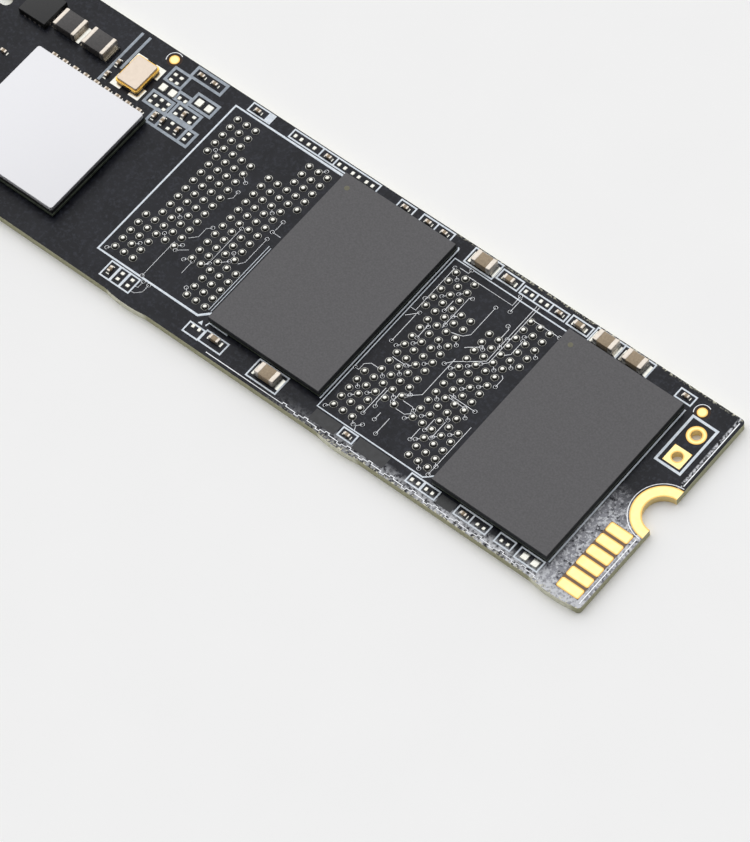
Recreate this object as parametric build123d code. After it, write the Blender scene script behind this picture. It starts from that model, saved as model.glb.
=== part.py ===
from build123d import *

import os
from math import atan2, degrees, sqrt
from typing import NamedTuple

# M.2 2280 solid-state drive: a thin card with memory packages, a controller, a crystal and power parts.
# Millimetres. The origin is the middle of the card's underside. +X runs to the screw notch, +Y to the
# long edge nearest the key slot, and +Z up from the side that carries the parts.

# Card
card_length = 80.0
card_width = 22.0
card_thickness = 0.8
corner_radius = 0.4
foil = 0.04  # gilded copper, let in flush with the solder mask
plating = 0.03  # wall of the plated holes and of the screw notch
snap_length = 4.6  # low stubs on the -Y edge, where the card was snapped out of its panel
snap_proud = 0.2
snap_places = (-8.4, 14.7, 37.1)

# Tongue that goes into the socket
tongue_width = 19.85
tongue_depth = 4.0
tongue_bevel = 0.2
key_slot_width = 1.2
key_slot_depth = 3.5
key_slot_y = 6.125
contact_pitch = 0.5
contact_width = 0.35
contact_setback = 0.35  # from the tongue's leading edge
contact_margin = 0.45  # least laminate beside the outermost contacts
top_contact_length = 2.0
under_contact_length = 2.5
key_clearance = 0.3  # contacts nearer to the key slot than this are left out
bare_margin = 0.4  # laminate without mask past the contacts

# Screw notch and its plated ring
notch_radius = 1.75
ring_radius = 2.75

# Service pads in a row beside the notch
service_pad_length = 2.3
service_pad_width = 1.0
service_pad_pitch = 1.27
service_pad_count = 6
service_pad_inset = 1.8  # middle of the pads from the card's end
service_pad_gap = 0.2  # first pad from the ring

# Two plated holes for a jumper
jumper_inset = 2.45  # from the card's end
jumper_edge_inset = 4.73  # middle of the pair from the +Y edge
jumper_pitch = 2.54
jumper_hole_radius = 0.475
jumper_pad_width = 1.75

# Camera targets: a gilded dot in a round opening of the mask
target_radius = 0.46
target_opening_radius = 0.7
target_places = ((-21.15, 0.9), (36.6, 1.45))  # X, and distance from the long edge

# Memory sites: the second and fourth carry a package, the first and third only solder
edge_strip = 2.0  # card left beside a memory site for the small parts, the mean of both sides
memory_width = 12.0
memory_site_pitch = 12.34
memory_first_x = -7.76
memory_left_pair_y = 0.63
memory_right_pair_y = -0.13
memory_substrate = 0.2
memory_mould = 0.6
memory_edge_break = 0.03

# Ball grid under a memory package
ball_pitch = 1.0
ball_corner_rows = 3  # rows at each end that have only their corner blocks
ball_shoulder_rows = 2  # next rows, which reach the outer column
ball_radius = 0.25
ball_standoff = 0.2
bump_radius = 0.3
bump_height = 0.2
bump_sides = 5

# Controller
controller_size = 12.0
controller_x = -24.9
controller_inset = 7.34  # its upper side from the +Y edge, with the crystal and small parts between
controller_substrate = 0.26
controller_substrate_lip = 0.06
controller_mould = 0.44
spreader_thickness = 0.4
spreader_corner = 0.25
controller_ball_pitch = 0.8
controller_ball_count = 14  # along each side
controller_ball_ring = 2  # rows filled from the outside
controller_ball_core = 4  # balls along each side of the middle block

# Crystal, placed from the controller's inner corner
crystal_width = 2.5
crystal_length = 3.2
crystal_tub = 0.5
crystal_lid = 0.2
crystal_rim = 0.12  # tub left showing round the lid
crystal_corner = 0.2  # hollow corners of the tub
crystal_solder = 0.06
crystal_land_width = 1.15
crystal_land_length = 1.3
crystal_land_reach = 0.35  # solder showing past the tub
crystal_place = (-3.6, 3.18)

# Bulk capacitors
bulk_length = 2.05
bulk_width = 1.25
bulk_height = 0.85
bulk_end = 0.5
bulk_skin = 0.03
bulk_edge = 0.06
bulk_joint = 0.4

# Filter capacitors
filter_length = 1.0
filter_width = 0.5
filter_height = 0.5
filter_end = 0.25
filter_skin = 0.02
filter_edge = 0.03
filter_joint = 0.25

# Small and link capacitors
small_length = 0.6
small_width = 0.3
small_height = 0.3
small_end = 0.19
small_joint = 0.14

# Power inductors
inductor_count = 2
inductor_length = 2.5
inductor_width = 2.0
inductor_height = 1.0
inductor_end = 0.45
inductor_skin = 0.03
inductor_edge = 0.1
inductor_joint = 0.3

# Regulator
regulator_size = 3.0
regulator_height = 0.75
regulator_lead_width = 0.25
regulator_lead_length = 0.4
regulator_lead_height = 0.2
regulator_lead_pitch = 0.55
regulator_leads_per_side = 4

# Solder on pairs of lands that carry no part
small_land_width = 0.36
small_land_length = 0.42
small_land_height = 0.1
small_land_pitch = 0.65
wide_land_width = 0.74
wide_land_length = 0.8
wide_land_height = 0.14
wide_land_pitch = 1.06
land_lean = 0.06

# Places in the strips along the long edges: site, side of the card (1 is +Y), X from the site's middle
guard_strip = 0.6  # kept free along the -Y edge
bulk_places = ((2, 1, -3.57), (2, 1, 9.38), (2, 1, 12.43), (1, -1, 1.37))
filter_places = ((2, 1, -0.92), (2, 1, 6.53), (1, -1, -4.48))
small_places = (
    (0, 1, -4.1), (0, 1, 3.76), (1, 1, -0.13), (1, 1, 2.37), (1, 1, 4.12),
    (2, 1, 4.43), (3, 1, 5.39), (2, -1, -2.17), (3, -1, -2.16),
)
upright_small_places = ((0, -1, -3.74),)
land_places = (
    (0, 1, 0.41), (0, 1, 1.86), (0, 1, 5.26), (0, 1, 6.76), (0, 1, 8.26), (2, 1, 1.18),
    (2, 1, 2.78), (1, -1, -6.53), (2, -1, 5.08), (2, -1, 6.58), (3, -1, -0.36), (3, -1, 2.14),
)
upright_land_places = ((0, -1, -2.64), (0, -1, -1.54))
wide_land_places = ((3, -1, 4.79),)

# Places round the controller's inner corner: X and Y from that corner
corner_small_places = ((0.8, 6.55), (2.25, 6.55))
corner_upright_small_places = (
    (0.2, 0.98), (1.1, 0.98), (2.75, 0.98), (2.2, 2.55), (-5.9, 1.75), (-5.9, 3.25),
)
corner_land_places = ((1.05, 3.65),)
corner_upright_land_places = (
    (-1.12, 4.98), (-0.45, 4.98), (-1.12, 2.25), (-0.35, 2.25), (0.4, 2.25), (1.5, 2.55),
    (3.05, 2.55), (1.95, 0.98), (3.8, 0.98),
)
corner_wide_land_places = ((-0.6, 3.65), (2.97, 4.3))
power_row_place = (-6.75, 3.6)  # inner end and middle line of the inductors and the regulator
power_gap = 0.2  # between their solder

# Link capacitors in a row between the controller and the tongue
link_count = 8
link_pitch = 1.2
link_gap = 2.7  # from the controller's outer side

# Supply capacitors in a row along the controller's upper side
supply_count = 9
supply_pitch = 1.2
supply_gap = 0.55  # middle line of the row from the controller

# Worked out from the sizes above
card_top = card_thickness
card_end = card_length / 2
card_edge = card_width / 2
memory_length = card_width - 2 * edge_strip
ball_columns = int(memory_width / ball_pitch) - 1
ball_rows = int(memory_length / ball_pitch) - 1
controller_y = card_edge - controller_inset - controller_size / 2
power_step = inductor_length + 2 * inductor_joint + power_gap
BARE_SITES = (0, 2)
PACKAGE_SITES = (1, 3)


class Chip(NamedTuple):
    """Sizes of a chip part: a block with a metal cup or cap on each end, soldered down past them."""

    length: float
    width: float
    height: float
    end: float
    skin: float
    edge: float
    joint: float


BULK = Chip(bulk_length, bulk_width, bulk_height, bulk_end, bulk_skin, bulk_edge, bulk_joint)
FILTER = Chip(filter_length, filter_width, filter_height, filter_end, filter_skin, filter_edge, filter_joint)
SMALL = Chip(small_length, small_width, small_height, small_end, 0.0, 0.0, small_joint)
INDUCTOR = Chip(inductor_length, inductor_width, inductor_height, inductor_end, inductor_skin,
                inductor_edge, inductor_joint)


def standing(length, width, height):
    """A block that stands on z = 0, measured along X, Y and Z."""
    return Pos(0, 0, height / 2) * Box(length, width, height)


def leaning(face, height, lean):
    """A low mound on a flat outline whose sides lean in."""
    return extrude(face, height, taper=degrees(atan2(lean, height)))


def on_card(place, turn=0.0):
    """Location on the card's upper face."""
    x, y = place
    return Pos(x, y, card_top) * Rot(0, 0, turn)


def site_middle(site):
    """X and Y of a memory site, counted from the controller towards the notch."""
    y = memory_left_pair_y if site < 2 else memory_right_pair_y
    return memory_first_x + site * memory_site_pitch, y


def edge_row(site, side, dx):
    """X and Y in the strip between a memory site's outline and the card's long edge."""
    x, y = site_middle(site)
    strip_edge = card_edge if side > 0 else card_edge - guard_strip
    return x + dx, (y + side * (memory_length / 2 + strip_edge)) / 2


def by_corner(dx, dy):
    """X and Y measured from the controller's inner corner."""
    half = controller_size / 2
    return controller_x + half + dx, controller_y + half + dy


def ball_grid():
    """Places of a memory package's balls, from the middle of the grid."""
    places = []
    for row in range(ball_rows):
        from_end = min(row, ball_rows - 1 - row)
        for column in range(ball_columns):
            from_side = min(column, ball_columns - 1 - column)
            middle = from_side == ball_columns // 2
            if from_end < ball_corner_rows:
                filled = from_side < ball_corner_rows
            elif from_end < ball_corner_rows + ball_shoulder_rows:
                filled = not middle
            else:
                filled = not middle and from_side > 0
            if filled:
                x = (column - (ball_columns - 1) / 2) * ball_pitch
                y = (row - (ball_rows - 1) / 2) * ball_pitch
                places.append(Pos(x, y))
    return places


def controller_grid():
    """Places of the controller's balls: an outer ring and a block in the middle."""
    places = []
    last = controller_ball_count - 1
    core_start = (controller_ball_count - controller_ball_core) // 2
    for row in range(controller_ball_count):
        for column in range(controller_ball_count):
            depth = min(row, column, last - row, last - column)
            if depth < controller_ball_ring or depth >= core_start:
                x = (column - last / 2) * controller_ball_pitch
                y = (row - last / 2) * controller_ball_pitch
                places.append(Pos(x, y))
    return places


def contact_row(fewer):
    """Y of each contact in a row of the tongue, without those at the key slot."""
    room = tongue_width - contact_width - 2 * contact_margin
    count = int(room / contact_pitch) + 1 - fewer
    row = [(place - (count - 1) / 2) * contact_pitch for place in range(count)]
    keep_off = key_slot_width / 2 + key_clearance
    return [y for y in row if abs(y - key_slot_y) > keep_off]


def contacts(length, fewer, z):
    """One side's gilded contacts on the tongue; one fewer shifts a row by half a pitch."""
    finger = standing(length, contact_width, foil)
    x = -card_end + contact_setback + length / 2
    return [Pos(x, y, z) * finger for y in contact_row(fewer)]


def mounting_ring():
    """Plated half ring of the screw notch: two flanges joined by the lined wall."""
    wall = notch_radius + plating
    upper = card_thickness - foil
    with BuildPart() as ring:
        with BuildSketch(Plane.XZ):
            with BuildLine():
                Polyline(
                    (notch_radius, 0),
                    (ring_radius, 0),
                    (ring_radius, foil),
                    (wall, foil),
                    (wall, upper),
                    (ring_radius, upper),
                    (ring_radius, card_thickness),
                    (notch_radius, card_thickness),
                    close=True,
                )
            make_face()
        revolve(axis=Axis.Z, revolution_arc=180)
    return Pos(card_end, 0) * Rot(0, 0, 90) * ring.part


def service_pads():
    """Row of gilded pads beside the notch."""
    pad = standing(service_pad_length, service_pad_width, foil)
    x = card_end - service_pad_inset
    first = ring_radius + service_pad_gap + service_pad_width / 2
    rows = [first + number * service_pad_pitch for number in range(service_pad_count)]
    return [Pos(x, -y, card_top - foil) * pad for y in rows]


def jumper_place(side):
    """Location of one of the two jumper holes."""
    return Pos(card_end - jumper_inset, card_edge - jumper_edge_inset + side * jumper_pitch / 2)


def jumper_eyelet(flange):
    """Plated hole: the same flange on both faces and a thin barrel between them."""
    eyelet = extrude(Circle(jumper_hole_radius + plating), card_thickness)
    eyelet += extrude(flange, foil)
    eyelet += Pos(0, 0, card_thickness - foil) * extrude(flange, foil)
    return eyelet - extrude(Circle(jumper_hole_radius), card_thickness)


def round_eyelet():
    """Jumper hole with the round flange."""
    return jumper_place(1) * jumper_eyelet(Circle(jumper_pad_width / 2))


def square_eyelet():
    """Jumper hole with the square flange, which marks the first pin."""
    return jumper_place(-1) * jumper_eyelet(Rectangle(jumper_pad_width, jumper_pad_width))


def targets(radius):
    """A disc of the foil's depth at each camera target."""
    disc = extrude(Circle(radius), foil)
    return [Pos(x, card_edge - inset, card_top - foil) * disc for x, inset in target_places]


def snap_stub(x):
    """Outline of a low rounded stub on the -Y edge."""
    half = snap_length / 2
    with BuildSketch() as stub:
        with BuildLine():
            ThreePointArc((x - half, -card_edge), (x, -card_edge - snap_proud), (x + half, -card_edge))
            Line((x + half, -card_edge), (x - half, -card_edge))
        make_face()
    return stub.sketch


def card_outline():
    """The card from above, with its tongue, key slot, notch and holes."""
    outline = Rectangle(card_length, card_width)
    outline = fillet(outline.vertices().group_by(Axis.X)[-1], corner_radius)
    shoulder = (card_width - tongue_width) / 2
    for side in (-1, 1):
        corner = Pos(-card_end + tongue_depth / 2, side * (card_edge - shoulder / 2))
        outline -= corner * Rectangle(tongue_depth, shoulder)
        outline -= jumper_place(side) * Circle(jumper_hole_radius + plating)
    for x in snap_places:
        outline += snap_stub(x)
    slot_round = key_slot_width / 2
    slot_straight = key_slot_depth - slot_round
    outline -= Pos(-card_end + slot_straight / 2, key_slot_y) * Rectangle(slot_straight, key_slot_width)
    outline -= Pos(-card_end + slot_straight, key_slot_y) * Circle(slot_round)
    return outline - Pos(card_end, 0) * Circle(notch_radius + plating)


def card():
    """Glass-epoxy card with a bevelled tongue and a recess for each piece of foil."""
    slab = extrude(card_outline(), card_thickness)
    for length, z in ((top_contact_length, card_top - foil), (under_contact_length, 0)):
        bare = contact_setback + length + bare_margin
        slab -= Pos(-card_end + bare / 2, 0, z) * standing(bare, tongue_width, foil)
    lead_in = slab.edges().filter_by(Axis.Y).group_by(Axis.X)[0]
    slab = chamfer(lead_in, tongue_bevel)
    inlays = [mounting_ring(), round_eyelet(), square_eyelet()]
    for inlay in inlays + service_pads() + targets(target_opening_radius):
        slab -= inlay
    return slab


def solder_ball():
    """A ball pressed between a package and the card, as a three-sided post."""
    return extrude(RegularPolygon(ball_radius, 3), ball_standoff)


def memory_package(site):
    """Solder balls, laminate base and moulded block of one memory package."""
    place = on_card(site_middle(site))
    base = standing(memory_width, memory_length, memory_substrate)
    block = standing(memory_width, memory_length, memory_mould)
    block = chamfer(block.edges().group_by(Axis.Z)[-1], memory_edge_break)
    return {
        "balls": [place * spot * solder_ball() for spot in ball_grid()],
        "substrate": [place * Pos(0, 0, ball_standoff) * base],
        "mould": [place * Pos(0, 0, ball_standoff + memory_substrate) * block],
    }


def solder_field(site):
    """Solder bumps on the lands of a memory site that carries no package."""
    foot = RegularPolygon(bump_radius, bump_sides)
    bump = loft([foot.face(), Vertex(0, 0, bump_height)], ruled=True)
    place = on_card(site_middle(site))
    return [place * spot * bump for spot in ball_grid()]


def controller():
    """Solder balls, laminate base, moulded block and metal heat spreader of the controller."""
    place = on_card((controller_x, controller_y))
    base_size = controller_size + 2 * controller_substrate_lip
    base = standing(base_size, base_size, controller_substrate)
    block = standing(controller_size, controller_size, controller_mould)
    plate = standing(controller_size, controller_size, spreader_thickness)
    plate = fillet(plate.edges().filter_by(Axis.Z), spreader_corner)
    block_z = ball_standoff + controller_substrate
    return {
        "balls": [place * spot * solder_ball() for spot in controller_grid()],
        "substrate": [place * Pos(0, 0, ball_standoff) * base],
        "mould": [place * Pos(0, 0, block_z) * block],
        "heat_spreader": [place * Pos(0, 0, block_z + controller_mould) * plate],
    }


def crystal():
    """Solder, ceramic tub with hollow corners and seamed metal lid of the timing crystal."""
    place = on_card(by_corner(*crystal_place))
    half_width, half_length = crystal_width / 2, crystal_length / 2
    land = standing(crystal_land_width, crystal_land_length, crystal_solder)
    tub = standing(crystal_width, crystal_length, crystal_tub)
    solder = []
    for side in (-1, 1):
        for end in (-1, 1):
            tub -= Pos(side * half_width, end * half_length) * extrude(Circle(crystal_corner), crystal_tub)
            x = side * (half_width + crystal_land_reach - crystal_land_width / 2)
            y = end * (half_length + crystal_land_reach - crystal_land_length / 2)
            solder.append(place * Pos(x, y) * land)
    lid = standing(crystal_width - 2 * crystal_rim, crystal_length - 2 * crystal_rim, crystal_lid)
    lid = fillet(lid.edges().filter_by(Axis.Z), crystal_corner)
    lid = chamfer(lid.edges().group_by(Axis.Z)[-1], crystal_lid / 4)
    return {
        "solder": solder,
        "tub": [place * Pos(0, 0, crystal_solder) * tub],
        "lid": [place * Pos(0, 0, crystal_solder + crystal_tub) * lid],
    }


def chip_block(chip):
    """Ceramic or ferrite block of a chip part, long side along X, inside its cups or between its caps."""
    skins = 2 * chip.skin
    length = chip.length - (skins or 2 * chip.end)
    block = Box(length, chip.width - skins, chip.height - skins)
    if chip.edge:
        block = chamfer(block.edges(), chip.edge - (2 - sqrt(2)) * chip.skin)
    return Pos(0, 0, chip.height / 2) * block


def chip_ends(chip):
    """The two metal ends of a chip part: cups with a skin, or plain caps."""
    outer = standing(chip.length, chip.width, chip.height)
    if chip.edge:
        outer = chamfer(outer.edges(), chip.edge)
    middle = standing(chip.length - 2 * chip.end, chip.width, chip.height)
    return list((outer - middle - chip_block(chip)).solids())


def chip_joints(chip):
    """Solder wedges that run from the lands up the ends of a chip part."""
    foot = chip.length / 2
    width = chip.width - 2 * chip.edge
    corners = [(foot, chip.edge), (foot, chip.joint), (foot + chip.joint, 0)]
    if chip.edge:
        corners.append((foot - chip.edge, 0))
    wedge = extrude(Plane.XZ * Polygon(*corners, align=None), width / 2, both=True)
    return [wedge, Rot(0, 0, 180) * wedge]


def land_pair(width, length, height, pitch):
    """Two mounds of solder on a pair of lands, side by side along X."""
    mound = leaning(Rectangle(width, length), height, land_lean)
    return [Pos(side * pitch / 2, 0) * mound for side in (-1, 1)]


def bare_lands():
    """Solder on every pair of lands that carries no part."""
    small = land_pair(small_land_width, small_land_length, small_land_height, small_land_pitch)
    wide = land_pair(wide_land_width, wide_land_length, wide_land_height, wide_land_pitch)
    small_spots = [on_card(edge_row(*place)) for place in land_places]
    small_spots += [on_card(edge_row(*place), 90) for place in upright_land_places]
    small_spots += [on_card(by_corner(*place)) for place in corner_land_places]
    small_spots += [on_card(by_corner(*place), 90) for place in corner_upright_land_places]
    wide_spots = [on_card(edge_row(*place)) for place in wide_land_places]
    wide_spots += [on_card(by_corner(*place)) for place in corner_wide_land_places]
    mounds = [spot * mound for spot in small_spots for mound in small]
    return mounds + [spot * mound for spot in wide_spots for mound in wide]


def regulator():
    """Moulded power chip and the leads let into its lower edges."""
    x, y = power_row_place
    place = on_card(by_corner(x - inductor_count * power_step - regulator_size / 2, y))
    lead = standing(regulator_lead_length, regulator_lead_width, regulator_lead_height)
    reach = (regulator_size - regulator_lead_length) / 2
    leads = []
    for turn in (0, 90, 180, 270):
        for number in range(regulator_leads_per_side):
            y = (number - (regulator_leads_per_side - 1) / 2) * regulator_lead_pitch
            leads.append(Rot(0, 0, turn) * Pos(reach, y) * lead)
    block = standing(regulator_size, regulator_size, regulator_height)
    for inlay in leads:
        block -= inlay
    return {"mould": [place * block], "leads": [place * inlay for inlay in leads]}


def inductor_spots():
    """Locations of the power inductors, in a row that starts near the crystal."""
    x, y = power_row_place
    first = x - inductor_joint - inductor_length / 2
    return [on_card(by_corner(first - number * power_step, y)) for number in range(inductor_count)]


def small_spots():
    """Locations of the small capacitors on the card."""
    spots = [on_card(edge_row(*place)) for place in small_places]
    spots += [on_card(edge_row(*place), 90) for place in upright_small_places]
    spots += [on_card(by_corner(*place)) for place in corner_small_places]
    spots += [on_card(by_corner(*place), 90) for place in corner_upright_small_places]
    return spots + supply_spots()


def supply_spots():
    """Locations of the supply capacitors along the controller's upper side."""
    y = controller_y + controller_size / 2 + supply_gap
    middle = (supply_count - 1) / 2
    return [on_card((controller_x + (number - middle) * supply_pitch, y)) for number in range(supply_count)]


def link_spots():
    """Locations of the link capacitors along the controller's outer side."""
    x = controller_x - controller_size / 2 - link_gap
    middle = (link_count - 1) / 2
    return [on_card((x, controller_y + (number - middle) * link_pitch)) for number in range(link_count)]


def chip_nodes():
    """Nodes of every chip part, and one node of the solder that holds them."""
    nodes = {}
    solder = []
    numbered = {
        "bulk_capacitor": (BULK, [on_card(edge_row(*place)) for place in bulk_places]),
        "filter_capacitor": (FILTER, [on_card(edge_row(*place)) for place in filter_places]),
        "power_inductor": (INDUCTOR, inductor_spots()),
    }
    for name, (chip, spots) in numbered.items():
        for number, spot in enumerate(spots, 1):
            nodes[f"{name}_{number}"] = [spot * chip_block(chip)]
            nodes[f"{name}_{number}_ends"] = [spot * cup for cup in chip_ends(chip)]
        solder += [spot * wedge for spot in spots for wedge in chip_joints(chip)]
    for name, spots in {"small_capacitors": small_spots(), "link_capacitors": link_spots()}.items():
        nodes[name] = [spot * chip_block(SMALL) for spot in spots]
        nodes[f"{name}_ends"] = [spot * cup for spot in spots for cup in chip_ends(SMALL)]
        solder += [spot * wedge for spot in spots for wedge in chip_joints(SMALL)]
    nodes["chip_solder"] = solder
    return nodes


def drive():
    """Every node of the drive, by name."""
    nodes = {
        "circuit_board": [card()],
        "edge_contacts_top": contacts(top_contact_length, 0, card_top - foil),
        "edge_contacts_under": contacts(under_contact_length, 1, 0),
        "mounting_ring": [mounting_ring()],
        "service_pads": service_pads(),
        "jumper_eyelet_round": [round_eyelet()],
        "jumper_eyelet_square": [square_eyelet()],
        "camera_targets": targets(target_radius),
        "bare_land_solder": bare_lands(),
    }
    for number, site in enumerate(BARE_SITES, 1):
        nodes[f"bare_site_{number}_bumps"] = solder_field(site)
    packages = {f"memory_{number}": memory_package(site) for number, site in enumerate(PACKAGE_SITES, 1)}
    packages |= {"controller": controller(), "crystal": crystal(), "regulator": regulator()}
    for name, pieces in packages.items():
        for piece, solids in pieces.items():
            nodes[f"{name}_{piece}"] = solids
    return nodes | chip_nodes()


def main():
    """Writes each node, which holds one solid or a group of separate solids."""
    os.makedirs("parts", exist_ok=True)
    for node, solids in drive().items():
        shape = solids[0] if len(solids) == 1 else Compound(solids)
        export_step(shape, f"parts/{node}.step")


main()
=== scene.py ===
import logging
import math
from collections.abc import Callable, Iterable, Sequence
from dataclasses import dataclass, field
from enum import Enum
from functools import cache, partial

import bmesh
import bpy
from mathutils import Matrix, Vector


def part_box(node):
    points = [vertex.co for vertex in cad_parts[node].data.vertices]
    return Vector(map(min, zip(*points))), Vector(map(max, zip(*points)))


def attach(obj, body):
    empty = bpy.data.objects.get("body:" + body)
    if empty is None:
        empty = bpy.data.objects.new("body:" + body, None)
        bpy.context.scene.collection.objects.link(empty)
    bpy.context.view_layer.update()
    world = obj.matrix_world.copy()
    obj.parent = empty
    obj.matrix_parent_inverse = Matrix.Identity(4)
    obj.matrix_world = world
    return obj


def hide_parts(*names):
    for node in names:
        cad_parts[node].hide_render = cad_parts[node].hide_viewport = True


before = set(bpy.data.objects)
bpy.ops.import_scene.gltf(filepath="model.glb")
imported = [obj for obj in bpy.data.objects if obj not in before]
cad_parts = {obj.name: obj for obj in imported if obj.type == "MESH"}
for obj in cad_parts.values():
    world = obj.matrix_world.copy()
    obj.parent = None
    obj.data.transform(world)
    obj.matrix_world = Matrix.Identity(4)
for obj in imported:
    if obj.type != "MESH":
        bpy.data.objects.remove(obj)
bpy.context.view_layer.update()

log = logging.getLogger("solid_state_drive")

Point = tuple[float, float]
Route = tuple[Point, ...]
Rect = tuple[float, float, float, float]
Slope = tuple[str, float, float]
Colour = tuple[float, float, float, float]
Inputs = dict[str | int, object]
BMesh = bmesh.types.BMesh
BMEdge = bmesh.types.BMEdge
BMLayer = bmesh.types.BMLayerItem
Tree = bpy.types.NodeTree
Socket = bpy.types.NodeSocket

# Lengths are in millimetres and angles in degrees. Boxes of solids and what says so are in metres.
MM = 0.001
WELD = 0.0005 * MM
# Highest corner of the card in metres, and both corners of the row of pads in millimetres.
CARD_END, CARD_EDGE, CARD_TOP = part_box("circuit_board")[1]
PADS_LOW, PADS_HIGH = (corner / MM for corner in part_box("service_pads"))


class Slot(Enum):
    """Material slots of the record."""

    CARD = "solder_mask_card"
    GOLD = "gilded_copper"
    SOLDER = "solder"
    MOULD = "mould_epoxy"
    SPREADER = "nickel_plate"
    TUB = "gilded_ceramic"
    CERAMIC = "ceramic_block"
    FERRITE = "ferrite_block"
    TIN = "tinned_metal"


def linear(code: str) -> Colour:
    """Turns an sRGB hex colour into linear values.

    Args:
        code: six hex digits after a hash sign.

    Returns:
        Red, green, blue and a full alpha.
    """
    channels = [int(code[start:start + 2], 16) / 255 for start in (1, 3, 5)]
    light = [c / 12.92 if c <= 0.04045 else ((c + 0.055) / 1.055) ** 2.4 for c in channels]
    return light[0], light[1], light[2], 1.0


def per_mm(size: float) -> float:
    """Scale of a pattern on metre coordinates whose features are this many millimetres wide."""
    return 1.0 / (size * MM)


def feed(node: bpy.types.Node, inputs: Inputs) -> None:
    """Fills or links inputs of a node.

    Args:
        node: the node.
        inputs: value, hex colour or source socket for each input, by name or number.
    """
    for name, value in inputs.items():
        if isinstance(value, Socket):
            node.id_data.links.new(value, node.inputs[name])
        else:
            node.inputs[name].default_value = linear(value) if isinstance(value, str) else value


def add_node(
    tree: Tree,
    kind: str,
    inputs: Inputs | None = None,
    settings: dict[str, object] | None = None,
    out: str | int = 0,
) -> Socket:
    """Adds a node, sets its options and fills or links its inputs.

    Args:
        tree: node tree that gets the node.
        kind: Blender's type name of the node, without its first word.
        inputs: what goes into each input.
        settings: value of each option of the node.
        out: name or number of the output that is wanted.

    Returns:
        That output.
    """
    node = tree.nodes.new(f"ShaderNode{kind}")
    for option, value in (settings or {}).items():
        setattr(node, option, value)
    feed(node, inputs or {})
    return node.outputs[out]


# Finishes

# Options of the nodes that mix two colours, multiply two values or tell whether two are close.
BLEND = {"data_type": "RGBA"}
TIMES = {"operation": "MULTIPLY"}
CLOSE = {"operation": "COMPARE"}
# Sockets of a node that mixes two colours.
SHARE, UNDER, OVER, MIXED = 0, 6, 7, 2
# Where a shade goes over into the next: grain, copper areas and torn glass by noise, a top by its slope.
GRAIN_LIMITS = {"From Min": 0.3, "From Max": 0.7}
COPPER_LIMITS = {"From Min": 0.47, "From Max": 0.53}
FRAY_LIMITS = {"From Min": 0.25, "From Max": 0.5}
TOP_LIMITS = {"From Min": 0.6, "From Max": 0.95}
# How far a face of the card may look up and still be one of its sides.
STEEP = 0.5
# Depth from which an opening shows laminate, and width over which a shade sets in at an edge.
SUNK_BY = 0.01
EDGE_FADE = 0.06
# The sides' plies are so many times finer along Z than along X and Y.
PLIES = (1.0, 1.0, 6.0)


def facing_up(tree: Tree) -> Socket:
    """Tells how far a face looks up, from -1 to 1."""
    return add_node(tree, "SeparateXYZ", {0: add_node(tree, "TexCoord", out="Normal")}, out="Z")


@dataclass(frozen=True)
class Finish:
    """A material of the drive, made once and shared by the pieces that wear it."""

    name: str

    @cache
    def material(self) -> bpy.types.Material:
        """Makes the node material.

        Returns:
            The finished material.
        """
        material = bpy.data.materials.new(self.name)
        material.use_nodes = True
        tree = material.node_tree
        feed(tree.nodes["Principled BSDF"], self.look(tree))
        return material

    def look(self, tree: Tree) -> Inputs:
        """Adds the nodes of one kind of finish and gives the inputs of its shader."""
        raise NotImplementedError


@dataclass(frozen=True)
class Mottled(Finish):
    """A finish of two close shades in a fine grain, with the grain felt as a slight unevenness.

    Metallic is 1 for bare metal and less under a film, and the roughness goes with the shade.
    """

    pale: str
    dark: str
    grain: float
    metallic: float
    rough_pale: float
    rough_dark: float
    relief: float

    def look(self, tree: Tree) -> Inputs:
        """Mixes the two shades by a noise on the piece's own coordinates.

        Args:
            tree: node tree of the material.

        Returns:
            Inputs of its shader.
        """
        place = add_node(tree, "TexCoord", out="Object")
        noise = add_node(tree, "TexNoise", {"Vector": place, "Scale": per_mm(self.grain), "Detail": 3.0})
        share = add_node(tree, "MapRange", {"Value": noise, **GRAIN_LIMITS})
        shades = {SHARE: share, UNDER: self.dark, OVER: self.pale}
        spread = {"Value": share, "To Min": self.rough_dark, "To Max": self.rough_pale}
        return {
            "Base Color": add_node(tree, "Mix", shades, BLEND, MIXED),
            "Roughness": add_node(tree, "MapRange", spread),
            "Normal": add_node(tree, "Bump", {"Height": noise, "Distance": self.relief * MM}),
            "Metallic": self.metallic,
        }


@dataclass(frozen=True)
class Rimmed(Mottled):
    """A mottled finish that takes a painted shade and another roughness at the rims of its pieces."""

    painted_rim_shade: str
    rim_rough: float

    def look(self, tree: Tree) -> Inputs:
        """Adds the rim's painted shade to the mottled finish.

        Args:
            tree: node tree of the material.

        Returns:
            Inputs of its shader.
        """
        inputs = super().look(tree)
        rim = self.rim(tree)
        shades = {SHARE: rim, UNDER: inputs["Base Color"], OVER: self.painted_rim_shade}
        spread = {"Value": rim, "To Min": inputs["Roughness"], "To Max": self.rim_rough}
        inputs["Base Color"] = add_node(tree, "Mix", shades, BLEND, MIXED)
        inputs["Roughness"] = add_node(tree, "MapRange", spread)
        return inputs

    def rim(self, tree: Tree) -> Socket:
        """Reads the vertex attribute that is 1 at a rim."""
        return add_node(tree, "Attribute", settings={"attribute_name": "rim"}, out="Fac")


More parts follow.
